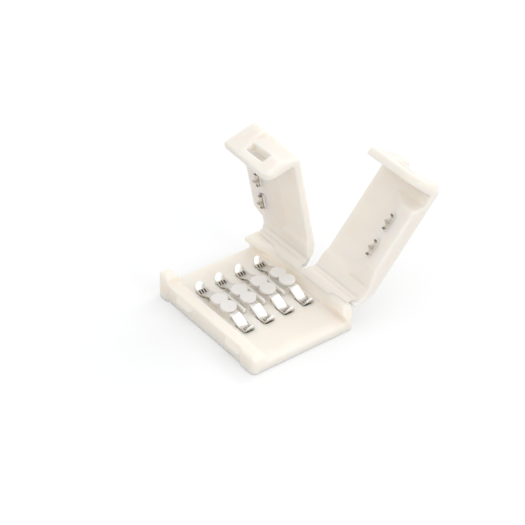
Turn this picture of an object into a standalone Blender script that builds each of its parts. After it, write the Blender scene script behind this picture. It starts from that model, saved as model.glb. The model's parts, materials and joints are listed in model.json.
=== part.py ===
# Solderless clip connector for a 10 mm four-conductor light strip, modelled open.
# World units are metres, +Z up. All sizes below are in millimetres and are turned
# into metres once, when a finished mesh is stored.
# The strip runs along Y. The latch wall is at -X and the hinge wall at +X.
# The origin is the centre of the underside.

import math

import bmesh
import bpy

MM = 0.001

# How far rough shapes run past the outline that trims them
TRIM = 1.0

# Strip and contact row
STRIP_WIDTH = 10.0
STRIP_SIDE_CLEARANCE = 0.1
CONTACT_PITCH = 2.54
CONTACT_COUNT = 4
CONTACT_ROW_Y = 0.85

# Base tray
BASE_LENGTH = 16.4
FLOOR_Z = 1.4
BASE_CORNER_R = 0.55
LEAD_IN_LENGTH = 1.1
LEAD_IN_DROP = 0.5
LATCH_WALL_WIDTH = 1.8
LATCH_WALL_HEIGHT = 0.8
LATCH_RECESS = 0.22
RECESS_END_SLOPE = 1.5
CORNER_BLOCK_REAR = 1.3
CORNER_BLOCK_FRONT = 2.1
BOSS_LENGTH = 1.75
BOSS_HEIGHT = 1.8
HINGE_WALL_WIDTH = 1.0
HINGE_WALL_HEIGHT = 1.48
NOSE_HEIGHT = 1.7
NOSE_RUN = 4.6
NOSE_OVERHANG = 0.8
FRONT_NOSE_SHARE = 0.6
FRONT_NOSE_RAKE = 0.6

# Contacts
CONTACT_WIDTH = 1.1
CONTACT_THICK = 0.14
REAR_ARM = 4.28
FRONT_ARM = 4.68
SLOPE_START = 1.95
SLOPE_END = 3.45
PAD_HEIGHT = 0.46
PAD_LENGTH = 3.5
SEAT_GAP = 0.02
DIP = 0.06
FOOT_HEIGHT = 0.16
TIP_HEIGHT = 0.9
TIP_RUN = 0.36
SLOT_COUNT = 3
SLOT_PITCH = 0.3
SLOT_WIDTH = 0.19
SLOT_LENGTH = 0.52
RELIEF_WIDTH = 1.36
RELIEF_DEPTH = 0.4
RELIEF_FROM = 2.8

# Staked heads and the ribs between the contacts
HEAD_SPACING = 1.5
HEAD_OVERLAP = 0.22
HEAD_THICK = 0.36
POST_R = 0.36
POST_HOLE_GAP = 0.03
RIB_WIDTH = 0.26
RIB_HEIGHT = 0.6
RIB_LENGTH = 3.5
RIB_SHIFT = -0.15

# Hinge
HINGE_Z = 2.8
BEAD_R = 0.25
HINGE_GAP = 0.05

# Lids
LID_RISE = 1.65
LID_SLOT = 0.6
LID_END_INSET = 0.2
LID_SHOULDER = 1.9
PANEL_THICK = 0.85
PANEL_FROM = 2.9
NECK_THICK = 1.15
NECK_FROM = 0.9
NECK_TO = 2.4
LAYER_PAD_THICK = 1.95
LAYER_PAD_WIDTH = 4.1
LAYER_PAD_FROM = 2.2
LAYER_PAD_FULL = 4.1
LAYER_PAD_SIDE_RUN = 2.2
LAYER_PAD_END = 2.3
LAYER_PAD_END_RUN = 0.9
TONGUE_GAP = 0.17
TONGUE_THICK = 1.75
TONGUE_TIP_THICK = 0.9
TONGUE_REACH = 4.2
TIP_SKEW = 0.16
REAR_TIP_CORNER_R = 0.9
FRONT_TIP_CORNER_R = 2.0
FINGER_CORNER_R = 0.4
WINDOW_WIDTH = 2.8
WINDOW_HEIGHT = 1.1
WINDOW_FROM_TIP = 0.95
WINDOW_SHIFT = -0.5
CATCH_SIDE_GAP = 0.07
CATCH_END_GAP = 0.04
CATCH_END_RUN = 0.35
CATCH_HOOK = 0.03
SCOOP_DEPTH = 0.75
SCOOP_REACH = 2.6
SCOOP_REAR_END = 1.25
SCOOP_FRONT_END = 0.15
FINGER_LIP_WIDTH = 2.65
LIP_CORNER_R = 1.9
LID_CORNER_R = 1.6

# Grips on the lids
GRIP_LENGTH = 1.8
GRIP_THICK = 0.34
GRIP_STAND = 0.62
GRIP_HORN = 0.3
GRIP_ROOT = 0.5
GRIP_SPACING = 3.1
GRIP_FROM_HINGE = 5.8
GRIP_FROM_END = 2.0
GRIP_GAP = 0.02

# How far each lid stands open in the stored pose, in degrees from shut
REAR_LID_OPEN = 78.0
FRONT_LID_OPEN = 130.4

# Places that follow from the sizes above
CHANNEL_WIDTH = STRIP_WIDTH + 2 * STRIP_SIDE_CLEARANCE
BASE_WIDTH = LATCH_WALL_WIDTH + CHANNEL_WIDTH + HINGE_WALL_WIDTH
LATCH_X = -BASE_WIDTH / 2
HINGE_X = BASE_WIDTH / 2
CHANNEL_LOW_X = LATCH_X + LATCH_WALL_WIDTH
CHANNEL_HIGH_X = HINGE_X - HINGE_WALL_WIDTH
END_Y = BASE_LENGTH / 2
AXIS_X = HINGE_X + BEAD_R + HINGE_GAP
CONTACT_BOTTOM = FLOOR_Z + PAD_HEIGHT + SEAT_GAP
CONTACT_TOP = CONTACT_BOTTOM + CONTACT_THICK
HEAD_R = (HEAD_SPACING + HEAD_OVERLAP) / 2
HEAD_BOTTOM = CONTACT_TOP + SEAT_GAP
HEAD_TOP = HEAD_BOTTOM + HEAD_THICK
TONGUE_IN_U = AXIS_X - LATCH_X + TONGUE_GAP
TONGUE_OUT_U = TONGUE_IN_U + TONGUE_THICK
LID_TOP_Z = HINGE_Z + LID_RISE
LID_LENGTH = END_Y - LID_END_INSET - LID_SLOT / 2


# Shape helpers, all in millimetres

def rounded(points, steps=4):
    """Closed outline from (a, b) or (a, b, radius) corners, each radius as an arc."""
    out = []
    count = len(points)
    for i, corner in enumerate(points):
        if len(corner) < 3 or corner[2] <= 0:
            out.append((corner[0], corner[1]))
            continue
        px, py = points[i - 1][:2]
        cx, cy, radius = corner
        nx, ny = points[(i + 1) % count][:2]
        ax, ay = px - cx, py - cy
        bx, by = nx - cx, ny - cy
        la, lb = math.hypot(ax, ay), math.hypot(bx, by)
        ax, ay, bx, by = ax / la, ay / la, bx / lb, by / lb
        half = math.acos(max(-1.0, min(1.0, ax * bx + ay * by))) / 2
        back = min(radius / math.tan(half), 0.48 * la, 0.48 * lb)
        radius = back * math.tan(half)
        mx, my = ax + bx, ay + by
        lm = math.hypot(mx, my)
        reach = radius / math.sin(half)
        ox, oy = cx + mx / lm * reach, cy + my / lm * reach
        start = math.atan2(cy + ay * back - oy, cx + ax * back - ox)
        end = math.atan2(cy + by * back - oy, cx + bx * back - ox)
        turn = (end - start + math.pi) % (2 * math.pi) - math.pi
        for k in range(steps + 1):
            angle = start + turn * k / steps
            out.append((ox + radius * math.cos(angle), oy + radius * math.sin(angle)))
    return out


def weld(bm):
    """Drop the tiny edges that a bevel or a Boolean can leave."""
    bmesh.ops.remove_doubles(bm, verts=bm.verts, dist=0.0012)
    bmesh.ops.dissolve_degenerate(bm, edges=bm.edges, dist=0.0005)
    bmesh.ops.recalc_face_normals(bm, faces=bm.faces)


def to_object(bm, name):
    weld(bm)
    mesh = bpy.data.meshes.new(name)
    bm.to_mesh(mesh)
    bm.free()
    obj = bpy.data.objects.new(name, mesh)
    bpy.context.scene.collection.objects.link(obj)
    return obj


def prism(outline, axis, low, high, soft_low=0.0, soft_high=0.0, steps=2):
    """Solid made by pushing an outline along an axis.

    The outline is in (x, z) for axis y, (x, y) for axis z and (y, z) for axis x.
    soft_low and soft_high round the edges of the two end faces.
    """
    place = {
        "x": lambda a, b, t: (t, a, b),
        "y": lambda a, b, t: (a, t, b),
        "z": lambda a, b, t: (a, b, t),
    }[axis]
    bm = bmesh.new()
    near = [bm.verts.new(place(a, b, low)) for a, b in outline]
    far = [bm.verts.new(place(a, b, high)) for a, b in outline]
    near_face = bm.faces.new(near)
    far_face = bm.faces.new(list(reversed(far)))
    count = len(outline)
    for i in range(count):
        j = (i + 1) % count
        bm.faces.new([near[j], near[i], far[i], far[j]])
    bmesh.ops.recalc_face_normals(bm, faces=bm.faces)
    for face, soft in ((near_face, soft_low), (far_face, soft_high)):
        if soft > 0:
            bmesh.ops.bevel(bm, geom=list(face.edges), offset=soft, segments=steps,
                            profile=0.5, affect="EDGES", clamp_overlap=True)
    return to_object(bm, "solid")


def box(x, y, z):
    outline = [(x[0], y[0]), (x[1], y[0]), (x[1], y[1]), (x[0], y[1])]
    return prism(outline, "z", z[0], z[1])


def disc(centre, radius, low, high, soft=0.0, steps=2, sides=28):
    outline = [(centre[0] + radius * math.cos(2 * math.pi * k / sides),
                centre[1] + radius * math.sin(2 * math.pi * k / sides))
               for k in range(sides)]
    return prism(outline, "z", low, high, soft_high=soft, steps=steps)


def combine(target, tools, operation):
    """Join, cut or keep what each tool shares with target, then drop the tools."""
    for tool in tools:
        step = target.modifiers.new("step", "BOOLEAN")
        step.operation = operation
        step.solver = "EXACT"
        step.object = tool
        graph = bpy.context.evaluated_depsgraph_get()
        mesh = bpy.data.meshes.new_from_object(target.evaluated_get(graph))
        target.modifiers.clear()
        bm = bmesh.new()
        bm.from_mesh(mesh)
        weld(bm)
        bm.to_mesh(mesh)
        bm.free()
        spent = (target.data, tool.data)
        target.data = mesh
        bpy.data.objects.remove(tool)
        for old in spent:
            bpy.data.meshes.remove(old)
    return target


def store(obj, name, material, shift=(0.0, 0.0, 0.0), open_angle=0.0):
    """Clean the mesh, turn it into metres and set its place, material and shading."""
    bm = bmesh.new()
    bm.from_mesh(obj.data)
    weld(bm)
    bmesh.ops.triangulate(bm, faces=[f for f in bm.faces if len(f.verts) > 4])
    bmesh.ops.scale(bm, vec=(MM, MM, MM), verts=bm.verts)
    bm.to_mesh(obj.data)
    bm.free()
    obj.name = name
    obj.data.name = name
    obj.data.materials.clear()
    obj.data.materials.append(material)
    for face in obj.data.polygons:
        face.use_smooth = False
    obj.location = [v * MM for v in shift]
    obj.rotation_euler = (0.0, math.radians(open_angle), 0.0)
    return obj


def material(name, colour, roughness, metallic):
    mat = bpy.data.materials.new(name)
    mat.use_nodes = True
    shader = mat.node_tree.nodes["Principled BSDF"]
    shader.inputs["Base Color"].default_value = (*colour, 1.0)
    shader.inputs["Roughness"].default_value = roughness
    shader.inputs["Metallic"].default_value = metallic
    mat.diffuse_color = (*colour, 1.0)
    mat.roughness = roughness
    mat.metallic = metallic
    return mat


# Base tray

def contact_x(index):
    middle = (CHANNEL_LOW_X + CHANNEL_HIGH_X) / 2
    return middle + (index - (CONTACT_COUNT - 1) / 2) * CONTACT_PITCH


def floor_slab():
    """Floor with a rounded lead-in for the strip at both open ends."""
    lead = []
    for k in range(6):
        angle = math.radians(90 * k / 5)
        lead.append((END_Y - LEAD_IN_LENGTH + LEAD_IN_LENGTH * math.sin(angle),
                     FLOOR_Z - LEAD_IN_DROP + LEAD_IN_DROP * math.cos(angle)))
    lead.append((END_Y + TRIM, FLOOR_Z - LEAD_IN_DROP - 0.01))
    outline = [(-END_Y - TRIM, -TRIM), (END_Y + TRIM, -TRIM)]
    outline += list(reversed(lead))
    outline += [(-y, z) for y, z in lead]
    return prism(outline, "x", LATCH_X - TRIM, HINGE_X + TRIM)


def latch_wall():
    """Low rounded wall on the latch side. Its front end rolls down to the floor."""
    top = FLOOR_Z + LATCH_WALL_HEIGHT
    outline = rounded([
        (LATCH_X - 0.06, -0.5), (LATCH_X - 0.02, top, 0.6),
        (CHANNEL_LOW_X - 0.15, top, 0.45), (CHANNEL_LOW_X, FLOOR_Z - 0.2),
        (CHANNEL_LOW_X, -0.5)], 5)
    wall = prism(outline, "y", -END_Y - TRIM, END_Y + 0.4)
    side = rounded([(-END_Y - 0.03, -TRIM), (-END_Y - 0.03, top + 0.01, 0.9),
                    (END_Y + TRIM, top + 0.01), (END_Y + TRIM, -TRIM)], 5)
    return combine(wall, [prism(side, "x", LATCH_X - TRIM, 0.0)], "INTERSECT")


def latch_recess():
    """Shallow hollow along the outside of the latch wall, with sloped ends."""
    low, high = CORNER_BLOCK_FRONT - END_Y, END_Y - CORNER_BLOCK_REAR
    face = LATCH_X + LATCH_RECESS
    run = RECESS_END_SLOPE * (LATCH_RECESS + TRIM)
    plan = [(face, low + RECESS_END_SLOPE * LATCH_RECESS), (face, high - RECESS_END_SLOPE * LATCH_RECESS),
            (face - LATCH_RECESS - TRIM, high - RECESS_END_SLOPE * LATCH_RECESS + run),
            (face - LATCH_RECESS - TRIM, low + RECESS_END_SLOPE * LATCH_RECESS - run)]
    return prism(plan, "z", -TRIM, FLOOR_Z + 4.0)


def boss():
    """Rounded hump on the rear end of the latch wall."""
    peak = FLOOR_Z + BOSS_HEIGHT
    face = CHANNEL_LOW_X - 0.03
    high = rounded([(LATCH_X - 0.14, -0.3), (LATCH_X + 0.08, peak, 0.8),
                    (face - 0.5, peak, 0.5), (face + 0.05, peak - 0.8, 0.3),
                    (face, FLOOR_Z - 0.2), (face, -0.3)], 5)
    body = prism(high, "y", END_Y - BOSS_LENGTH, END_Y + 0.5)
    inner, outer = END_Y - BOSS_LENGTH, END_Y + 0.06
    side = rounded([(inner, -0.5), (inner + 0.2, peak + 0.02, 0.9),
                    (outer, peak + 0.02, 0.7), (outer, -0.5)], 6)
    return combine(body, [prism(side, "x", LATCH_X - TRIM, 0.0)], "INTERSECT")


def window_span(lid_sign):
    """Y limits of a lid's window. Both lids are the same moulding, not mirrored."""
    middle = lid_sign * (LID_SLOT / 2 + LID_LENGTH / 2) + WINDOW_SHIFT
    return middle - WINDOW_WIDTH / 2, middle + WINDOW_WIDTH / 2


def catch(lid_sign):
    """Wedge that enters the lid's window. Its underside holds the bar below it."""
    low, high = window_span(lid_sign)
    root = LATCH_X + LATCH_RECESS + 0.15
    window_bottom = LID_TOP_Z - TONGUE_REACH + WINDOW_FROM_TIP
    lip = window_bottom + CATCH_END_GAP
    tip = LATCH_X - TONGUE_GAP - CATCH_HOOK
    outline = [(root, FLOOR_Z + LATCH_WALL_HEIGHT - 0.1), (tip + 0.03, lip + 0.08),
               (tip, lip + 0.03), (tip + 0.04, lip), (LATCH_X + 0.12, lip - 0.02),
               (LATCH_X + 0.12, 0.45), (root, 0.2)]
    low, high = low + CATCH_SIDE_GAP, high - CATCH_SIDE_GAP
    plan = [(root + 0.3, low), (LATCH_X + 0.1, low - 0.01), (tip - 0.1, low + CATCH_END_RUN),
            (tip - 0.1, high - CATCH_END_RUN), (LATCH_X + 0.1, high + 0.01), (root + 0.3, high)]
    body = prism(outline, "y", low - 0.05, high + 0.05)
    return combine(body, [prism(plan, "z", -TRIM, FLOOR_Z + 4.0)], "INTERSECT")


def wall_section(share):
    """Hinge wall outline in (x, z): a leaning ridge at share 0, a thick nose at share 1."""
    foot, outer = CHANNEL_HIGH_X, HINGE_X + 0.3
    ridge = FLOOR_Z + HINGE_WALL_HEIGHT
    top = FLOOR_Z + NOSE_HEIGHT
    bulge = foot - NOSE_OVERHANG
    plain = [(foot - 0.2, -0.6), (foot - 0.02, FLOOR_Z + 0.04, 0.2), (foot + 0.3, FLOOR_Z + 0.52, 0.3),
             (foot + 0.5, FLOOR_Z + 1.1, 0.3), (foot + 0.72, ridge - 0.02, 0.2),
             (HINGE_X - 0.05, ridge, 0.06), (outer, ridge - 0.6), (outer, -0.6)]
    nose = [(foot - 0.2, -0.6), (foot - 0.02, FLOOR_Z + 0.36, 0.15), (bulge, FLOOR_Z + 0.82, 0.35),
            (bulge + 0.12, top - 0.14, 0.5), (HINGE_X - 0.8, top, 0.4),
            (HINGE_X - 0.08, top - 0.14, 0.12), (outer, ridge - 0.6), (outer, -0.6)]
    mixed = [tuple(p + (q - p) * share for p, q in zip(a, b)) for a, b in zip(plain, nose)]
    return rounded(mixed, 5)


def hinge_wall():
    """Wall beside the hinge film, swelling into a nose over the strip at each end."""
    steps = 14
    places = []
    for sign, most in ((-1, FRONT_NOSE_SHARE), (1, 1.0)):
        for k in range(steps + 1):
            t = k / steps
            places.append((sign * (END_Y - NOSE_RUN * (1 - t)), most * t * t * (3 - 2 * t)))
        places.append((sign * (END_Y + 0.5), most))
    places.sort()
    bm = bmesh.new()
    rings = [[bm.verts.new((x, y, z)) for x, z in wall_section(share)] for y, share in places]
    count = len(rings[0])
    for a, b in zip(rings, rings[1:]):
        for k in range(count):
            j = (k + 1) % count
            bm.faces.new([a[k], a[j], b[j], b[k]])
    bm.faces.new(rings[0])
    bm.faces.new(list(reversed(rings[-1])))
    wall = to_object(bm, "hinge_wall")
    top = FLOOR_Z + NOSE_HEIGHT + 0.01
    side = rounded([(-END_Y - 0.02, -TRIM), (-END_Y - 0.02, FLOOR_Z + 0.2, 0.3),
                    (FRONT_NOSE_RAKE - END_Y, top, 0.7), (END_Y + 0.03, top, 0.75),
                    (END_Y + 0.03, -TRIM)], 6)
    return combine(wall, [prism(side, "x", CHANNEL_HIGH_X - 2.0, HINGE_X + TRIM)], "INTERSECT")


def contact_seat(index):
    """Pad under one contact, two posts through it and the heads staked over it."""
    x = contact_x(index)
    half = CONTACT_WIDTH / 2
    seat = box((x - half, x + half),
               (CONTACT_ROW_Y - PAD_LENGTH / 2, CONTACT_ROW_Y + PAD_LENGTH / 2),
               (FLOOR_Z - 0.3, FLOOR_Z + PAD_HEIGHT))
    parts = []
    for side in (-0.5, 0.5):
        y = CONTACT_ROW_Y + side * HEAD_SPACING
        parts.append(disc((x, y), POST_R, FLOOR_Z - 0.1, HEAD_BOTTOM + 0.1, sides=16))
        lift = 0.03 if side < 0 else 0.0
        parts.append(disc((x, y), HEAD_R, HEAD_BOTTOM, HEAD_TOP + lift, 0.14, 3))
    return combine(seat, parts, "UNION")


def arm_length(sign):
    return REAR_ARM if sign > 0 else FRONT_ARM


def relief(index, sign):
    """Pocket in the floor that lets a contact's slotted end spring down."""
    x = contact_x(index)
    near, far = RELIEF_FROM, arm_length(sign) - TIP_RUN + 0.12
    y = sorted((CONTACT_ROW_Y + sign * near, CONTACT_ROW_Y + sign * far))
    return box((x - RELIEF_WIDTH / 2, x + RELIEF_WIDTH / 2), y, (FLOOR_Z - RELIEF_DEPTH, FLOOR_Z + 2.0))


def base_tray(mat):
    tray = floor_slab()
    combine(tray, [latch_wall(), hinge_wall(), boss()], "UNION")
    plan = rounded([(LATCH_X, -END_Y, BASE_CORNER_R), (HINGE_X, -END_Y, BASE_CORNER_R),
                    (HINGE_X, END_Y, BASE_CORNER_R), (LATCH_X, END_Y, BASE_CORNER_R)], 5)
    combine(tray, [prism(plan, "z", 0.0, 6.0, soft_low=0.12)], "INTERSECT")
    reliefs = [relief(i, sign) for i in range(CONTACT_COUNT) for sign in (1, -1)]
    combine(tray, [latch_recess()] + reliefs, "DIFFERENCE")
    combine(tray, [catch(1), catch(-1)], "UNION")
    seats = [contact_seat(i) for i in range(CONTACT_COUNT)]
    ribs = []
    for i in range(CONTACT_COUNT - 1):
        x = (contact_x(i) + contact_x(i + 1)) / 2
        y = CONTACT_ROW_Y + RIB_SHIFT
        outline = rounded([(x - RIB_WIDTH / 2, y - RIB_LENGTH / 2, 0.1),
                           (x + RIB_WIDTH / 2, y - RIB_LENGTH / 2, 0.1),
                           (x + RIB_WIDTH / 2, y + RIB_LENGTH / 2, 0.1),
                           (x - RIB_WIDTH / 2, y + RIB_LENGTH / 2, 0.1)], 2)
        ribs.append(prism(outline, "z", FLOOR_Z - 0.3, FLOOR_Z + RIB_HEIGHT, soft_high=0.05))
    combine(tray, seats + ribs, "UNION")
    return store(tray, "base_tray", mat)


# Contacts

def arm_line(sign):
    """Top line of one arm, as (y from the heads' middle, height).

    From the heads it slopes down just below the floor, climbs over its slotted part
    and turns up steeply at the tip.
    """
    arm = arm_length(sign)
    corners = [(0.0, CONTACT_TOP), (SLOPE_START, CONTACT_TOP, 0.35), (SLOPE_END, FLOOR_Z - DIP, 0.25),
               (arm - TIP_RUN, FLOOR_Z + FOOT_HEIGHT, 0.16), (arm, FLOOR_Z + TIP_HEIGHT),
               (arm, FLOOR_Z + 9.0), (0.0, FLOOR_Z + 9.0)]
    return [(sign * y, z) for y, z in rounded(corners, 4)[:-2]]


def tip_share(to_end):
    """Width of the sheet near its round tip, as a share of the full width."""
    reach = CONTACT_WIDTH / 2
    if to_end >= reach:
        return 1.0
    return max(0.35, math.sqrt(1 - (1 - to_end / reach) ** 2))


def contact_stations():
    """Points along the whole contact: (y, height, normal y, normal height, share)."""
    line = list(reversed(arm_line(-1)[1:])) + arm_line(1)
    reach = CONTACT_WIDTH / 2
    fine = []
    for a, b in zip(line, line[1:]):
        fine.append(a)
        if a == line[0] or b == line[-1]:
            gap = math.dist(a, b)
            steps = sorted(min(gap * 0.98, reach * (1 - math.cos(math.pi * k / 10))) / gap
                           for k in range(1, 6))
            if b == line[-1]:
                steps = [1 - t for t in reversed(steps)]
            fine += [(a[0] + (b[0] - a[0]) * t, a[1] + (b[1] - a[1]) * t) for t in steps]
    fine.append(line[-1])
    out = []
    for i, (y, z) in enumerate(fine):
        before, after = fine[max(i - 1, 0)], fine[min(i + 1, len(fine) - 1)]
        size = math.dist(before, after)
        share = min(tip_share(math.dist((y, z), fine[0])), tip_share(math.dist((y, z), fine[-1])))
        out.append((y, z, (before[1] - after[1]) / size, (after[0] - before[0]) / size, share))
    return out


def contact(index, mat):
    """Sprung strip of sheet metal held by two staked heads, slotted near each tip."""
    half = CONTACT_WIDTH / 2
    bm = bmesh.new()
    rings = []
    for y, z, ny, nz, share in contact_stations():
        rings.append([bm.verts.new((side * half * share, y - ny * depth, z - nz * depth))
                      for side, depth in ((-1, 0), (1, 0), (1, CONTACT_THICK), (-1, CONTACT_THICK))])
    for a, b in zip(rings, rings[1:]):
        for k in range(4):
            bm.faces.new([a[k], a[(k + 1) % 4], b[(k + 1) % 4], b[k]])
    bm.faces.new(rings[0])
    bm.faces.new(list(reversed(rings[-1])))
    strip = to_object(bm, "contact")
    cutters = []
    for side in (-0.5, 0.5):
        cutters.append(disc((0.0, side * HEAD_SPACING), POST_R + POST_HOLE_GAP,
                            CONTACT_BOTTOM - 1.0, CONTACT_TOP + 1.0, sides=16))
    for k in range(SLOT_COUNT):
        x = (k - (SLOT_COUNT - 1) / 2) * SLOT_PITCH
        for sign in (-1, 1):
            end = arm_length(sign) - TIP_RUN - 0.06
            span = sorted((sign * (end - SLOT_LENGTH), sign * end))
            cutters.append(box((x - SLOT_WIDTH / 2, x + SLOT_WIDTH / 2), span, (0.5, 4.0)))
    combine(strip, cutters, "DIFFERENCE")
    return store(strip, "contact_%d" % (index + 1), mat,
                 (contact_x(index), CONTACT_ROW_Y, 0.0))


# Lids. A lid is drawn shut, from its hinge axis: u is the distance from the axis
# towards the latch wall and v the depth below the outer face, so a point lies at
# x = -u and z = LID_RISE - v from the axis.

def lid_outline(corners, steps=4):
    return [(-u, LID_RISE - v) for u, v in rounded(corners, steps)]


def lid_shell(low, high):
    """Panel and tongue as one bent section, with the bead at the hinge."""
    tip_u = TONGUE_IN_U + TONGUE_TIP_THICK
    tip_v = TONGUE_REACH + TIP_SKEW
    outline = rounded([
        (-0.18, LID_RISE - 0.17), (LID_SHOULDER / 2, 0.2 * LID_RISE, 0.6),
        (LID_SHOULDER, 0.0, 0.8), (TONGUE_OUT_U, 0.0, 0.75), (tip_u, tip_v, 0.15),
        (TONGUE_IN_U, tip_v, 0.12), (TONGUE_IN_U, PANEL_THICK, 0.35),
        (PANEL_FROM, PANEL_THICK, 0.3), (NECK_TO, NECK_THICK, 0.3),
        (NECK_FROM, NECK_THICK, 0.4), (0.2, LID_RISE - 0.15)])
    bead = [(BEAD_R * math.cos(math.radians(a)), LID_RISE + BEAD_R * math.sin(math.radians(a)))
            for a in range(-35, 216, 25)]
    section = [(-u, LID_RISE - v) for u, v in outline + bead]
    return prism(section, "y", low, high, 0.1, 0.1)


def tongue_trim(lid_sign, low, high):
    """Side view that a lid is trimmed to, which gives the tongue's end its corners."""
    skew = TIP_SKEW if lid_sign > 0 else 0.0
    corner = REAR_TIP_CORNER_R if lid_sign > 0 else FRONT_TIP_CORNER_R
    tip = LID_RISE - TONGUE_REACH
    outline = rounded([(low - 0.01, tip - skew, corner), (high + 0.01, tip + skew, FINGER_CORNER_R),
                       (high + 0.01, LID_RISE + TRIM), (low - 0.01, LID_RISE + TRIM)], 6)
    return prism(outline, "x", -TONGUE_OUT_U - TRIM, TRIM)


def scoop(lid_sign, low, high):
    """Hollow beside the finger lip, from the lid's outer face down part of the tongue."""
    edge = high - FINGER_LIP_WIDTH
    slope = (TONGUE_THICK - TONGUE_TIP_THICK) / TONGUE_REACH
    end_depth = SCOOP_REAR_END if lid_sign > 0 else SCOOP_FRONT_END
    beyond = TRIM / 2
    grow = (end_depth - SCOOP_DEPTH) / (edge - low)
    bm = bmesh.new()
    rings = []
    for y, depth in ((edge, SCOOP_DEPTH), (low - beyond, end_depth + grow * beyond)):
        rise = depth / SCOOP_REACH - slope
        ring = []
        for v in (-0.8, SCOOP_REACH + 0.8):
            ring.append(bm.verts.new((-(TONGUE_OUT_U - depth + rise * v), y, LID_RISE - v)))
        for v in (SCOOP_REACH + 0.8, -0.8):
            ring.append(bm.verts.new((-TONGUE_OUT_U - 2.0, y, LID_RISE - v)))
        rings.append(ring)
    for k in range(4):
        bm.faces.new([rings[0][k], rings[0][(k + 1) % 4], rings[1][(k + 1) % 4], rings[1][k]])
    bm.faces.new(rings[0])
    bm.faces.new(list(reversed(rings[1])))
    return to_object(bm, "scoop")


def layer_pad(lid_sign, low, high):
    """Thick outer part of the lid that presses on the strip and holds the grips."""
    end = TONGUE_IN_U - LAYER_PAD_END
    root = PANEL_THICK - 0.4
    outline = lid_outline([
        (LAYER_PAD_FROM, root), (LAYER_PAD_FROM, NECK_THICK + 0.15, 0.2),
        (LAYER_PAD_FULL, LAYER_PAD_THICK, 0.8), (end, LAYER_PAD_THICK, 0.3),
        (end + LAYER_PAD_END_RUN, PANEL_THICK + 0.05, 0.2), (end + LAYER_PAD_END_RUN, root)])
    outer = high if lid_sign > 0 else low
    edge = outer - lid_sign * LAYER_PAD_WIDTH
    pad = prism(outline, "y", *sorted((edge, outer)))
    under = LID_RISE - LAYER_PAD_THICK - 0.01
    side = rounded([(edge - lid_sign * 0.3, LID_RISE - PANEL_THICK + 0.15),
                    (edge + lid_sign * LAYER_PAD_SIDE_RUN, under, 1.2),
                    (outer - lid_sign * 0.06, under, 0.12), (outer - lid_sign * 0.02, under + 0.3),
                    (outer - lid_sign * 0.02, LID_RISE + TRIM), (edge - lid_sign * 0.3, LID_RISE + TRIM)])
    return combine(pad, [prism(side, "x", -TONGUE_OUT_U - TRIM, TRIM)], "INTERSECT")


def grip_places(lid_sign, low, high):
    y = high - GRIP_FROM_END if lid_sign > 0 else low + GRIP_FROM_END
    return [(GRIP_FROM_HINGE + k * GRIP_SPACING, y) for k in range(2)]


def grip_outline(grow=0.0):
    """Side view of a grip: root, a horn at each end and a middle peak, in (u, v)."""
    half = GRIP_LENGTH / 2 + grow
    skin = LAYER_PAD_THICK
    root = skin - GRIP_ROOT - grow
    if grow:
        return [(-half, root), (half, root), (half, skin + TRIM), (-half, skin + TRIM)]
    right = [(half - 0.25, root), (half - 0.22, skin + 0.02), (half, skin + GRIP_HORN - 0.03),
             (half - 0.1, skin + GRIP_HORN), (half - 0.34, skin + 0.08),
             (0.38, skin + 0.16), (0.09, skin + GRIP_STAND)]
    return right + [(-u, v) for u, v in reversed(right)]


def lid(lid_sign, name, open_angle, mat, grip_mat):
    low, high = sorted((lid_sign * LID_SLOT / 2, lid_sign * (LID_SLOT / 2 + LID_LENGTH)))
    shell = lid_shell(low, high)
    combine(shell, [layer_pad(lid_sign, low, high)], "UNION")
    far = -TONGUE_OUT_U - 0.02
    plan = rounded([(1.0, low - 0.5), (-3.0, low - 0.5), (-4.0, low - 0.01),
                    (far, low - 0.01, LID_CORNER_R), (far, high + 0.01, LIP_CORNER_R),
                    (-4.0, high + 0.01), (-3.0, high + 0.5), (1.0, high + 0.5)], 6)
    combine(shell, [prism(plan, "z", -9.0, 9.0), tongue_trim(lid_sign, low, high)], "INTERSECT")
    window_low, window_high = window_span(lid_sign)
    base = LID_RISE - TONGUE_REACH + WINDOW_FROM_TIP
    cuts = [scoop(lid_sign, low, high),
            box((-TONGUE_OUT_U - 2.0, -TONGUE_IN_U + 0.1), (window_low, window_high),
                (base, base + WINDOW_HEIGHT))]
    places = grip_places(lid_sign, low, high)
    reach = GRIP_THICK / 2 + GRIP_GAP
    for u, y in places:
        pocket = [(-u - a, LID_RISE - v) for a, v in grip_outline(GRIP_GAP)]
        cuts.append(prism(pocket, "y", y - reach, y + reach))
    combine(shell, cuts, "DIFFERENCE")
    axis = (AXIS_X, 0.0, HINGE_Z)
    store(shell, name + "_lid", mat, axis, open_angle)
    for k, (u, y) in enumerate(places):
        side = [(-u - a, LID_RISE - v) for a, v in grip_outline()]
        grip = prism(side, "y", y - GRIP_THICK / 2, y + GRIP_THICK / 2)
        grooves = []
        for j in range(4):
            middle = -u + (j - 1.5) * 0.3
            for sign in (-1, 1):
                face = y + sign * GRIP_THICK / 2
                grooves.append(box((middle - 0.06, middle + 0.06), (face - 0.06, face + 0.06),
                                   (LID_RISE - LAYER_PAD_THICK - 1, LID_RISE)))
        combine(grip, grooves, "DIFFERENCE")
        store(grip, "%s_grip_%d" % (name, k + 1), grip_mat, axis, open_angle)


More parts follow.
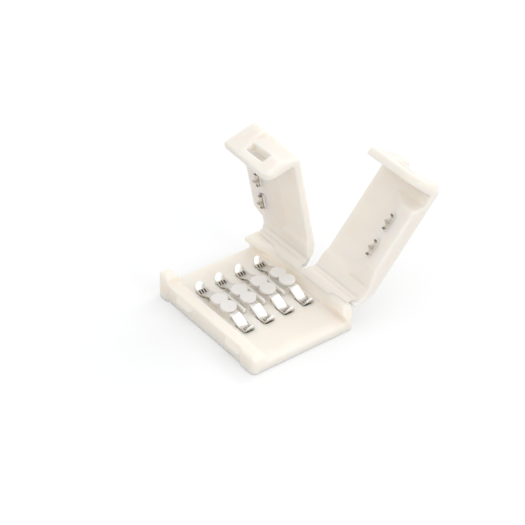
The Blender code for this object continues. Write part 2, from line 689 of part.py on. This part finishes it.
def main():
    for old in list(bpy.data.objects):
        bpy.data.objects.remove(old)
    ivory = material("ivory_plastic", (0.80, 0.74, 0.65), 0.45, 0.0)
    lid_ivory = material("lid_plastic", (0.80, 0.73, 0.64), 0.45, 0.0)
    tinned = material("tinned_metal", (0.78, 0.76, 0.72), 0.28, 1.0)
    grip_metal = material("grip_metal", (0.55, 0.47, 0.38), 0.35, 1.0)
    base_tray(ivory)
    for index in range(CONTACT_COUNT):
        contact(index, tinned)
    lid(1, "rear", REAR_LID_OPEN, lid_ivory, grip_metal)
    lid(-1, "front", FRONT_LID_OPEN, lid_ivory, grip_metal)
    bpy.context.view_layer.update()


main()
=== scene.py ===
# Looks for the open strip-light clip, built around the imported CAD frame.
# The frame is in metres: +Z up, +Y along the strip, and the latch wall at -X.
# Sizes below are in millimetres, and MM turns them into metres. Only the lights
# and the floor are placed in metres.
import json
import math

import bmesh
import bpy
from mathutils import Matrix, Vector

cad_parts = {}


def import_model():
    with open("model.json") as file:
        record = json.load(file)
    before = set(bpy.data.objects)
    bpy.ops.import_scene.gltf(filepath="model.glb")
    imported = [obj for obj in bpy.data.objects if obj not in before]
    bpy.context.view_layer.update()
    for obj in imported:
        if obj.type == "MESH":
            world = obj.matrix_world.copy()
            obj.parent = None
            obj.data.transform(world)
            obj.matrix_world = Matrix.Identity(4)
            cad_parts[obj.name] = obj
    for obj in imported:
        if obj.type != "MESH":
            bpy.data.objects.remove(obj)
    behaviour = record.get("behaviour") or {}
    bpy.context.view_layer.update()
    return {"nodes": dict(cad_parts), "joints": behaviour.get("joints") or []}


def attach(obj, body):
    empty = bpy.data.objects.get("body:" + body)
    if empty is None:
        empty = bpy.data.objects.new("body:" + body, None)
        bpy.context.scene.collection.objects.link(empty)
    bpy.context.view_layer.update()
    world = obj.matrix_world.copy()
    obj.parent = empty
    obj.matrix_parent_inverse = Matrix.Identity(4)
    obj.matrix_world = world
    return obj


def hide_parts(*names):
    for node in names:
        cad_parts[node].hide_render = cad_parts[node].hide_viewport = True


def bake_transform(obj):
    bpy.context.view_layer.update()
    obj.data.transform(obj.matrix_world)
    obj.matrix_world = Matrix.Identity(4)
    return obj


MM = 0.001

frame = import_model()

# Hinge line, and how far each lid stands open from its lower limit, where it is shut
joints = {joint["name"]: joint for joint in frame["joints"]}
HINGE_X, HINGE_Z = (joints["rear_lid_hinge"]["pos_m"][axis] / MM for axis in (0, 2))
REAR_OPEN = math.radians(-joints["rear_lid_hinge"]["range_deg"][0])
FRONT_OPEN = math.radians(-joints["front_lid_hinge"]["range_deg"][0])

# On a lid, u runs out from the hinge line and v in from the outer face. The outer
# face stands LID_RISE over the hinge line, and the pressing pad ends at PAD_SKIN.
LID_RISE = 1.65
PAD_SKIN = 1.95

# Contact row
CONTACT_PITCH = 2.54
CONTACT_ROW_X = 0.4
CONTACT_ROW_Y = 0.85
CONTACT_EDGE = 0.022
CONTACTS_X = [CONTACT_ROW_X + (k - 1.5) * CONTACT_PITCH for k in range(4)]

# Where each contact was slotted and bent, which is rougher there and painted greyer as painted shade,
# and where the pocket under each of its ends is.
# POCKET_X is measured from the contact's middle.
ROUGH_AND_SHADED_Y = [(2.50, 4.80), (-3.72, -2.42)]
ROUGH_AND_SHADED_SOFT = 0.12
# The pocket floors are painted near black in the tray's plastic: painted shade of a deep pocket.
POCKET_X = (-0.22, 0.62)
POCKETS_Y = [(3.6, 5.0), (-3.7, -1.9)]
POCKET_Z = (0.2, 1.28)
POCKET_SIDE_SOFT = 0.02
POCKET_TOP_SOFT = 0.03

# Staked heads, two on each contact
HEAD_SPACING = 1.5
HEAD_R = 0.875
HEAD_RIM_R = 0.12
HEAD_DISH = 0.004
HEAD_BOTTOM = 2.045
REAR_HEAD_TOP = 2.405
FRONT_HEAD_TOP = 2.435
HEAD_SIDES = 64

# Ribs between the contacts
RIB_WIDTH = 0.28
RIB_Y = (-1.06, 2.46)
RIB_Z = (1.2, 2.01)
RIB_EDGE = 0.07

# Grips, two on each lid, and the plastic that closes round their roots
GRIP_FROM_HINGE = 5.8
GRIP_SPACING = 3.1
GRIP_Y = 6.0
GRIP_EDGE = 0.02
SEAT_LENGTH = 1.92
SEAT_WIDTH = 0.44
SEAT_DEPTH = 0.35
SEAT_EDGE = 0.015

# A grip's horns, which are this far from its middle and stand this high over the pad, are
# painted dark as painted shade, and so, a little, is the top of its middle peak
HORN_FROM_MIDDLE = 0.7
HORN_STAND = 0.2
PEAK_STAND = 0.45
PEAK_SHADE = 0.3

# Hinge webs: FILM_EDGE_SHARE of the thickness is left where they run out. Their outer
# line goes through (x, z) points on the wall, round the hinge line from FILM_ANGLE
# degrees in steps to FILM_CLEAR short of the lid, and through (u, v) points on the lid.
FILM_THICK = 0.08
FILM_EDGE_SHARE = 0.25
FILM_R = 0.34
FILM_ANGLE = 95
FILM_STEP = 18
FILM_CLEAR = 12
FILM_ON_WALL = [(5.93, 2.56), (6.0, 2.672), (6.08, 2.78), (6.2, 2.91), (6.36, 3.03), (6.55, 3.11)]
FILM_ON_LID = [(0.375, 1.488), (0.4425, 1.423), (0.531, 1.358), (0.6565, 1.275), (0.798, 1.174)]
REAR_FILM_Y = (0.36, 7.60)
FRONT_FILM_Y = (-7.35, -0.36)

# Soft skin of the mouldings: its voxels, and the share of faces that is kept
SKIN_VOXEL = 0.075
SKIN_KEEP = 0.45

# Light levels: the world on the object, and what the floor adds where it is seen
FILL = 0.96
FLOOR_LIFT = 0.30

# Lamps and floor, in metres, and the floor's drop below the object in millimetres
LAMP_ACROSS = 0.26
LAMP_AIM = (0.0, 0.0, 0.005)
FLOOR_HALF = 1.5
FLOOR_DROP = 0.01

# Camera: its direction and roll in degrees, and its place across, up and back
VIEW_AZIMUTH = -38.55
VIEW_ELEVATION = 37.08
VIEW_ROLL = 1.72
VIEW_ACROSS = 0.637
VIEW_UP = 5.124
VIEW_BACK = 217.4
VIEW_LENS = 144.0


# Node trees

class Tree:
    """Node tree of a material or a world, with short calls that add to it."""

    def __init__(self, owner):
        owner.use_nodes = True
        self.nodes = owner.node_tree.nodes
        self.links = owner.node_tree.links
        self.nodes.clear()

    def add(self, kind, inputs, **settings):
        """Add a node. Each input is another node's output, a number or a colour."""
        node = self.nodes.new("ShaderNode" + kind)
        for name, value in settings.items():
            setattr(node, name, value)
        for name, value in inputs.items():
            socket = node.inputs[name]
            if isinstance(value, bpy.types.NodeSocket):
                self.links.new(value, socket)
            elif socket.type == "RGBA":
                socket.default_value = (*value, 1.0)
            else:
                socket.default_value = value
        return node


def maths(tree, operation, *values):
    """Math node over other nodes' outputs and plain numbers."""
    return tree.add("Math", dict(enumerate(values)), operation=operation).outputs["Value"]


def any_of(tree, values):
    """The largest of some values, so 1 where any of them is 1."""
    most = values[0]
    for value in values[1:]:
        most = maths(tree, "MAXIMUM", most, value)
    return most


def noise(tree, place, scale, detail, stretch=(1, 1, 1)):
    """Noise over the piece, with scale in features per metre."""
    mapped = tree.add("Mapping", {"Vector": place, "Scale": stretch})
    tex = tree.add("TexNoise", {"Vector": mapped.outputs["Vector"], "Scale": scale, "Detail": detail})
    return tex.outputs["Fac"]


def span(tree, value, low, high):
    """Stretch a 0.35 to 0.65 noise over low to high."""
    ramp = tree.add("MapRange", {"Value": value, "From Min": 0.35, "From Max": 0.65,
                                 "To Min": low, "To Max": high})
    return ramp.outputs["Result"]


def step(tree, value, start, end):
    """0 at start and before it, 1 at end and after it, smooth between them."""
    ramp = tree.add("MapRange", {"Value": value, "From Min": start * MM, "From Max": end * MM},
                    interpolation_type="SMOOTHSTEP")
    return ramp.outputs["Result"]


def inside(tree, value, low, high, soft):
    """1 where a place in metres is between low and high millimetres, with soft ends."""
    rise = step(tree, value, low - soft, low + soft)
    fall = step(tree, value, high + soft, high - soft)
    return maths(tree, "MULTIPLY", rise, fall)


def mix_colours(tree, factor, first, second):
    """The first colour where the factor is 0, the second where it is 1."""
    mix = tree.add("Mix", {"Factor": factor, "A": first, "B": second}, data_type="RGBA")
    return mix.outputs["Result"]


def bump(tree, height, strength, depth, under=None):
    """Bump of a depth in millimetres, laid over another where one is given."""
    inputs = {"Height": height, "Strength": strength, "Distance": depth * MM}
    if under is not None:
        inputs["Normal"] = under
    return tree.add("Bump", inputs).outputs["Normal"]


# Materials

def new_material(name):
    """A material, its empty tree, and the place on the piece for its textures."""
    mat = bpy.data.materials.new(name)
    tree = Tree(mat)
    return mat, tree, tree.add("TexCoord", {}).outputs["Object"]


def principled(tree, inputs):
    """End a material's tree with its shader."""
    shader = tree.add("BsdfPrincipled", inputs)
    tree.add("OutputMaterial", {"Surface": shader.outputs["BSDF"]})


def pocket_shade_mask(tree, place):
    """1 on the floor of the pocket under each contact's slotted end, which is painted dark as painted
    shade.
    """
    axes = tree.add("SeparateXYZ", {"Vector": place}).outputs
    low, high = POCKET_X
    columns = any_of(tree, [inside(tree, axes["X"], middle + low, middle + high, POCKET_SIDE_SOFT)
                            for middle in CONTACTS_X])
    ends = any_of(tree, [inside(tree, axes["Y"], *pocket, POCKET_SIDE_SOFT) for pocket in POCKETS_Y])
    deep = inside(tree, axes["Z"], *POCKET_Z, POCKET_TOP_SOFT)
    return maths(tree, "MULTIPLY", maths(tree, "MULTIPLY", columns, ends), deep)


def moulded_plastic(name, light, deep, roughness, glow, pocket_shade=None):
    """Satin moulding with faint flow marks, uneven gloss and a little depth.
    Where a colour is given for the pocket floors, they get it as painted shade."""
    mat, tree, place = new_material(name)
    flow = noise(tree, place, scale=260.0, detail=4.0, stretch=(1.0, 0.45, 1.0))
    colour = mix_colours(tree, span(tree, flow, 0.0, 1.0), light, deep)
    # Painted shade: the pocket floors get the given dark colour.
    if pocket_shade:
        colour = mix_colours(tree, pocket_shade_mask(tree, place), colour, pocket_shade)
    gloss = noise(tree, place, scale=900.0, detail=3.0)
    grain = noise(tree, place, scale=9000.0, detail=2.0)
    waves = noise(tree, place, scale=700.0, detail=2.0)
    fine = bump(tree, grain, strength=0.10, depth=0.01)
    principled(tree, {"Base Color": colour,
                      "Roughness": span(tree, gloss, roughness - 0.06, roughness + 0.08),
                      "Normal": bump(tree, waves, strength=0.18, depth=0.05, under=fine),
                      "IOR": 1.5,
                      "Subsurface Weight": glow,
                      "Subsurface Radius": (1.0, 0.86, 0.72),
                      "Subsurface Scale": 1.1 * MM})
    return mat


def contact_metal(name, light, bend_shade, roughness):
    """Tin plate, bright where the sheet is plain, rougher where it was slotted and bent, and
    painted greyer there as painted shade."""
    mat, tree, place = new_material(name)
    along = tree.add("SeparateXYZ", {"Vector": place}).outputs["Y"]
    zone = any_of(tree, [inside(tree, along, *shaded_part, ROUGH_AND_SHADED_SOFT) for shaded_part in ROUGH_AND_SHADED_Y])
    marks = noise(tree, place, scale=2500.0, detail=4.0, stretch=(1.0, 0.12, 1.0))
    stain = noise(tree, place, scale=900.0, detail=3.0)
    plain = mix_colours(tree, span(tree, stain, 0.0, 1.0), light, [part * 0.93 for part in light])
    gloss = span(tree, marks, roughness - 0.04, roughness + 0.08)
    # Painted shade: the slotted and bent zone is greyer.
    principled(tree, {"Base Color": mix_colours(tree, zone, plain, bend_shade),
                      "Roughness": maths(tree, "MULTIPLY_ADD", zone, 0.12, gloss),
                      "Normal": bump(tree, marks, strength=0.10, depth=0.008),
                      "Metallic": 1.0})
    return mat


def grip_metal(name, light, deep, horn_shade_colour, roughness):
    """Dull bronze sheet with fine marks across it, with painted shade darkening its sharp points."""
    mat, tree, place = new_material(name)
    marks = noise(tree, place, scale=2500.0, detail=4.0, stretch=(0.15, 1.0, 1.0))
    stain = noise(tree, place, scale=700.0, detail=3.0)
    sheet = mix_colours(tree, span(tree, stain, 0.0, 1.0), light, deep)
    # Painted shade: dark on the marked horn tips and a little on the peak.
    horn_shade_mask = tree.add("Attribute", {}, attribute_name="horn_shade").outputs["Fac"]
    principled(tree, {"Base Color": mix_colours(tree, horn_shade_mask, sheet, horn_shade_colour),
                      "Roughness": span(tree, marks, roughness - 0.05, roughness + 0.1),
                      "Normal": bump(tree, marks, strength=0.12, depth=0.01),
                      "Metallic": 0.6})
    return mat


# The tray's pocket floors are painted near black: painted shade.
tray_plastic = moulded_plastic("tray_plastic", light=(0.925, 0.87, 0.80), deep=(0.905, 0.84, 0.765),
                               roughness=0.42, glow=0.9, pocket_shade=(0.10, 0.085, 0.07))
# The lids get a darker copy of the tray's plastic: painted shade.
lid_plastic = moulded_plastic("lid_plastic", light=(0.86, 0.825, 0.78), deep=(0.84, 0.80, 0.745),
                              roughness=0.42, glow=0.9)
film_plastic = moulded_plastic("film_plastic", light=(0.90, 0.85, 0.785), deep=(0.88, 0.825, 0.755),
                               roughness=0.42, glow=0.0)
head_plastic = moulded_plastic("head_plastic", light=(0.85, 0.825, 0.80), deep=(0.80, 0.775, 0.745),
                               roughness=0.36, glow=0.0)
# The contacts' slotted and bent zone gets a greyer colour: painted shade.
tinned = contact_metal("tinned_metal", light=(0.985, 0.985, 0.97), bend_shade=(0.70, 0.67, 0.63),
                       roughness=0.30)
# The grips' horn tips get a near-black colour and their peaks a little of it: painted shade.
bronze = grip_metal("grip_metal", light=(0.80, 0.75, 0.67), deep=(0.58, 0.52, 0.44),
                    horn_shade_colour=(0.16, 0.13, 0.10), roughness=0.42)


# Meshes

def add_mesh(name, mesh, body, mat):
    """Add a mesh as a piece. It rides on a body unless body is None."""
    obj = bpy.data.objects.new(name, mesh)
    bpy.context.scene.collection.objects.link(obj)
    mesh.materials.clear()
    mesh.materials.append(mat)
    if body:
        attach(obj, body)
    return obj


def smooth(obj):
    """Shade all faces of a piece smooth."""
    for face in obj.data.polygons:
        face.use_smooth = True


def add_form(name, bm, body, mat):
    """Add a closed smooth form that was built in millimetres."""
    bmesh.ops.scale(bm, vec=(MM, MM, MM), verts=bm.verts)
    bmesh.ops.recalc_face_normals(bm, faces=bm.faces)
    mesh = bpy.data.meshes.new(name)
    bm.to_mesh(mesh)
    bm.free()
    obj = add_mesh(name, mesh, body, mat)
    smooth(obj)
    return obj


def cube():
    """Cube from -0.5 to 0.5, to be placed and rounded."""
    bm = bmesh.new()
    bmesh.ops.create_cube(bm, size=1.0)
    return bm


def lofted(rings):
    """Closed form through rings of points."""
    bm = bmesh.new()
    loops = [[bm.verts.new(point) for point in ring] for ring in rings]
    for a, b in zip(loops, loops[1:]):
        for k in range(len(a)):
            j = (k + 1) % len(a)
            bm.faces.new([a[k], a[j], b[j], b[k]])
    bm.faces.new(list(reversed(loops[0])))
    bm.faces.new(loops[-1])
    return bm


def copy_in_mm(node, ending, mat):
    """Copy of a CAD node in millimetres, ready for its modifiers."""
    mesh = frame["nodes"][node].data.copy()
    mesh.transform(Matrix.Scale(1 / MM, 4))
    return add_mesh(node + ending, mesh, None, mat)


def take_place(obj, node, body, mat):
    """Apply a copy's modifiers, go back to metres, and stand for the CAD node."""
    graph = bpy.context.evaluated_depsgraph_get()
    mesh = bpy.data.meshes.new_from_object(obj.evaluated_get(graph))
    obj.modifiers.clear()
    old = obj.data
    obj.data = mesh
    bpy.data.meshes.remove(old)
    mesh.transform(Matrix.Scale(MM, 4))
    smooth(obj)
    mesh.materials.clear()
    mesh.materials.append(mat)
    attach(obj, body)
    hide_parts(node)


def soft_moulding(node, body, mat, passes):
    """A CAD moulding with the small radii that its tool gives every edge."""
    obj = copy_in_mm(node, "_moulding", mat)
    remesh = obj.modifiers.new("skin", "REMESH")
    remesh.mode = "VOXEL"
    remesh.voxel_size = SKIN_VOXEL
    relax = obj.modifiers.new("relax", "SMOOTH")
    relax.factor = 0.5
    relax.iterations = passes
    thin = obj.modifiers.new("thin", "DECIMATE")
    thin.ratio = SKIN_KEEP
    take_place(obj, node, body, mat)


def stamped(node, body, mat, edge):
    """A CAD sheet-metal piece with the small rounded edges that tumbling leaves."""
    obj = copy_in_mm(node, "_sheet", mat)
    weld = obj.modifiers.new("weld", "WELD")
    weld.merge_threshold = 0.0005
    bevel = obj.modifiers.new("edge", "BEVEL")
    bevel.width = edge
    bevel.segments = 2
    bevel.limit_method = "ANGLE"
    bevel.angle_limit = math.radians(40)
    bevel.use_clamp_overlap = True
    take_place(obj, node, body, mat)
    obj.data.set_sharp_from_angle(angle=math.radians(45))
    return obj


# Pieces

def staked_head(name, x, y, top):
    """Hot-staked head: a flattened disc with a rolled rim and an almost flat middle."""
    profile = [(HEAD_R - 0.10, HEAD_BOTTOM), (HEAD_R - 0.02, HEAD_BOTTOM + 0.04),
               (HEAD_R, HEAD_BOTTOM + 0.11), (HEAD_R, top - 0.15)]
    for k in range(1, 7):
        angle = math.radians(15 * k)
        profile.append((HEAD_R - HEAD_RIM_R + HEAD_RIM_R * math.cos(angle),
                        top - HEAD_RIM_R + HEAD_RIM_R * math.sin(angle)))
    profile += [(HEAD_R - 0.26, top + 0.003), (0.40, top + HEAD_DISH), (0.20, top),
                (0.06, top - HEAD_DISH)]
    turns = [2 * math.pi * k / HEAD_SIDES for k in range(HEAD_SIDES)]
    bm = lofted([[(x + radius * math.cos(turn), y + radius * math.sin(turn), height)
                  for turn in turns] for radius, height in profile])
    add_form(name, bm, "base", head_plastic)


def rib(name, x):
    """Rib between two contacts, with rounded upright corners and a rounded top edge."""
    low = (x - RIB_WIDTH / 2, RIB_Y[0], RIB_Z[0])
    high = (x + RIB_WIDTH / 2, RIB_Y[1], RIB_Z[1])
    bm = cube()
    for v in bm.verts:
        v.co = [low[i] + (v.co[i] + 0.5) * (high[i] - low[i]) for i in range(3)]
    edges = [e for e in bm.edges if max(v.co.z for v in e.verts) > high[2] - 1e-6]
    bmesh.ops.bevel(bm, geom=edges, offset=RIB_EDGE, segments=4, profile=0.5, affect="EDGES",
                    clamp_overlap=True)
    add_form(name, bm, "base", tray_plastic)


def lid_point(u, v, opened):
    """A lid's (u, v) point in the frame's X and Z, with the lid at its rest angle."""
    x, z = -u, LID_RISE - v
    return (HINGE_X + x * math.cos(opened) + z * math.sin(opened),
            HINGE_Z - x * math.sin(opened) + z * math.cos(opened))


def mark_horn_shade(obj, opened, along):
    """Mark where a grip gets painted shade, dark on its sharp points and a little on its peak; along
    is its middle's distance from the hinge.
    """
    marks = obj.data.attributes.new("horn_shade", "FLOAT", "POINT")
    for index, vertex in enumerate(obj.data.vertices):
        x, z = vertex.co.x / MM - HINGE_X, vertex.co.z / MM - HINGE_Z
        u = -x * math.cos(opened) + z * math.sin(opened)
        stand = LID_RISE - x * math.sin(opened) - z * math.cos(opened) - PAD_SKIN
        if abs(u - along) > HORN_FROM_MIDDLE and stand > HORN_STAND:
            marks.data[index].value = 1.0
        elif stand > PEAK_STAND:
            marks.data[index].value = PEAK_SHADE


def grip_seat(name, body, opened, along, middle):
    """Plastic that closes round the root of a grip, level with the pressing pad."""
    bm = cube()
    for v in bm.verts:
        x, z = lid_point(along + v.co.x * SEAT_LENGTH, PAD_SKIN + (v.co.z - 0.5) * SEAT_DEPTH, opened)
        v.co = (x, middle + v.co.y * SEAT_WIDTH, z)
    bmesh.ops.bevel(bm, geom=bm.edges[:], offset=SEAT_EDGE, segments=2, profile=0.5, affect="EDGES")
    add_form(name, bm, body, film_plastic)


def eased(points, steps):
    """Smooth curve through the points, as a Catmull-Rom spline."""
    ends = [points[0]] + points + [points[-1]]
    line = []
    for a, b, c, d in zip(ends, ends[1:], ends[2:], ends[3:]):
        for k in range(steps):
            t = k / steps
            line.append([0.5 * (2 * b[i] + (c[i] - a[i]) * t
                                + (2 * a[i] - 5 * b[i] + 4 * c[i] - d[i]) * t * t
                                + (3 * b[i] - a[i] - 3 * c[i] + d[i]) * t ** 3) for i in range(2)])
    return line + [list(points[-1])]


def hinge_film(name, body, opened, low, high):
    """Web of plastic that carries the wall's inner face over the bead and into the lid."""
    fillet = [lid_point(u, v, opened) for u, v in FILM_ON_LID]
    flank = math.degrees(math.atan2(fillet[0][1] - HINGE_Z, fillet[0][0] - HINGE_X))
    points = list(FILM_ON_WALL)
    for degrees in range(FILM_ANGLE, math.floor(flank + FILM_CLEAR), -FILM_STEP):
        angle = math.radians(degrees)
        points.append((HINGE_X + FILM_R * math.cos(angle), HINGE_Z + FILM_R * math.sin(angle)))
    line = eased(points + fillet, steps=4)
    last = len(line) - 1
    rings = []
    for i, (x, z) in enumerate(line):
        a, b = line[max(i - 1, 0)], line[min(i + 1, last)]
        size = math.hypot(b[0] - a[0], b[1] - a[1])
        swell = FILM_EDGE_SHARE + (1 - FILM_EDGE_SHARE) * math.sin(math.pi * i / last)
        thick = FILM_THICK * swell
        in_x, in_z = x + (b[1] - a[1]) / size * thick, z - (b[0] - a[0]) / size * thick
        rings.append([(x, low, z), (x, high, z), (in_x, high, in_z), (in_x, low, in_z)])
    obj = add_form(name, lofted(rings), None, film_plastic)
    obj.data.set_sharp_from_angle(angle=math.radians(50))
    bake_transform(obj)


soft_moulding("base_tray", "base", tray_plastic, passes=12)
soft_moulding("rear_lid", "rear_lid_body", lid_plastic, passes=24)
soft_moulding("front_lid", "front_lid_body", lid_plastic, passes=24)

for number, x in enumerate(CONTACTS_X, 1):
    stamped("contact_%d" % number, "base", tinned, CONTACT_EDGE)
    staked_head("head_%d_rear" % number, x, CONTACT_ROW_Y + HEAD_SPACING / 2, REAR_HEAD_TOP)
    staked_head("head_%d_front" % number, x, CONTACT_ROW_Y - HEAD_SPACING / 2, FRONT_HEAD_TOP)
    if number < len(CONTACTS_X):
        rib("rib_%d" % number, x + CONTACT_PITCH / 2)

for lid, opened, grip_y in (("rear", REAR_OPEN, GRIP_Y), ("front", FRONT_OPEN, -GRIP_Y)):
    for k in range(2):
        along = GRIP_FROM_HINGE + k * GRIP_SPACING
        grip = stamped("%s_grip_%d" % (lid, k + 1), lid + "_lid_body", bronze, GRIP_EDGE)
        mark_horn_shade(grip, opened, along)
        grip_seat("%s_seat_%d" % (lid, k + 1), lid + "_lid_body", opened, along, grip_y)

hinge_film("rear_film", "rear_lid_body", REAR_OPEN, *REAR_FILM_Y)
hinge_film("front_film", "front_lid_body", FRONT_OPEN, *FRONT_FILM_Y)


# Camera, floor and light

def camera():
    """The photograph's viewpoint: a long lens from the latch side and the front."""
    azimuth, elevation, roll = map(math.radians, (VIEW_AZIMUTH, VIEW_ELEVATION, VIEW_ROLL))
    back = Vector((math.sin(azimuth) * math.cos(elevation),
                   -math.cos(azimuth) * math.cos(elevation), math.sin(elevation)))
    side = Vector((math.cos(azimuth), math.sin(azimuth), 0.0))
    rise = back.cross(side)
    right = math.cos(roll) * side + math.sin(roll) * rise
    up = -math.sin(roll) * side + math.cos(roll) * rise
    eye = (VIEW_ACROSS * side + VIEW_UP * rise + VIEW_BACK * back) * MM
    data = bpy.data.cameras.new("camera")
    data.lens = VIEW_LENS
    data.sensor_width = 36.0
    data.clip_start = 0.01
    data.clip_end = 20.0
    obj = bpy.data.objects.new("camera", data)
    bpy.context.scene.collection.objects.link(obj)
    obj.matrix_world = Matrix(((right.x, up.x, back.x, eye.x), (right.y, up.y, back.y, eye.y),
                               (right.z, up.z, back.z, eye.z), (0, 0, 0, 1)))
    bpy.context.scene.camera = obj


def area_light(name, place, power, tint):
    """Soft round light that looks at the object."""
    data = bpy.data.lights.new(name, "AREA")
    data.shape = "DISK"
    data.size = LAMP_ACROSS
    data.energy = power
    data.color = tint
    obj = bpy.data.objects.new(name, data)
    bpy.context.scene.collection.objects.link(obj)
    obj.location = place
    obj.rotation_euler = (Vector(LAMP_AIM) - Vector(place)).to_track_quat("-Z", "Y").to_euler()


def seen_directly(tree):
    """1 for camera, glossy and transmission rays, else 0."""
    rays = tree.add("LightPath", {}).outputs
    return any_of(tree, [rays["Is Camera Ray"], rays["Is Glossy Ray"], rays["Is Transmission Ray"]])


def floor():
    """Pale floor just under the object, which keeps its shadow."""
    mesh = bpy.data.meshes.new("floor")
    bm = bmesh.new()
    bmesh.ops.create_grid(bm, x_segments=1, y_segments=1, size=FLOOR_HALF)
    bmesh.ops.translate(bm, verts=bm.verts, vec=(0, 0, -FLOOR_DROP * MM))
    bm.to_mesh(mesh)
    bm.free()
    obj = bpy.data.objects.new("floor", mesh)
    bpy.context.scene.collection.objects.link(obj)
    mat = bpy.data.materials.new("floor")
    tree = Tree(mat)
    matt = tree.add("BsdfDiffuse", {"Color": (0.66, 0.66, 0.66)})
    level = maths(tree, "MULTIPLY", seen_directly(tree), FLOOR_LIFT)
    lift = tree.add("Emission", {"Color": (0.94, 0.98, 1.0), "Strength": level})
    both = tree.add("AddShader", {0: matt.outputs["BSDF"], 1: lift.outputs["Emission"]})
    tree.add("OutputMaterial", {"Surface": both.outputs["Shader"]})
    mesh.materials.append(mat)


def world():
    """Plain fill on the object, and white where the world itself is seen."""
    made = bpy.data.worlds.new("studio")
    bpy.context.scene.world = made
    tree = Tree(made)
    fill = tree.add("Background", {"Color": (1.0, 0.995, 0.985), "Strength": FILL})
    white = tree.add("Background", {"Color": (1.0, 1.0, 1.0), "Strength": 1.0})
    mix = tree.add("MixShader", {0: seen_directly(tree), 1: fill.outputs["Background"],
                                 2: white.outputs["Background"]})
    tree.add("OutputWorld", {"Surface": mix.outputs["Shader"]})


camera()
floor()
world()
area_light("key", (0.38, 0.06, 0.37), power=0.47, tint=(1.0, 0.995, 0.985))
area_light("front", (0.10, -0.46, 0.20), power=0.38, tint=(1.0, 1.0, 1.0))

bpy.context.scene.view_settings.view_transform = "Standard"
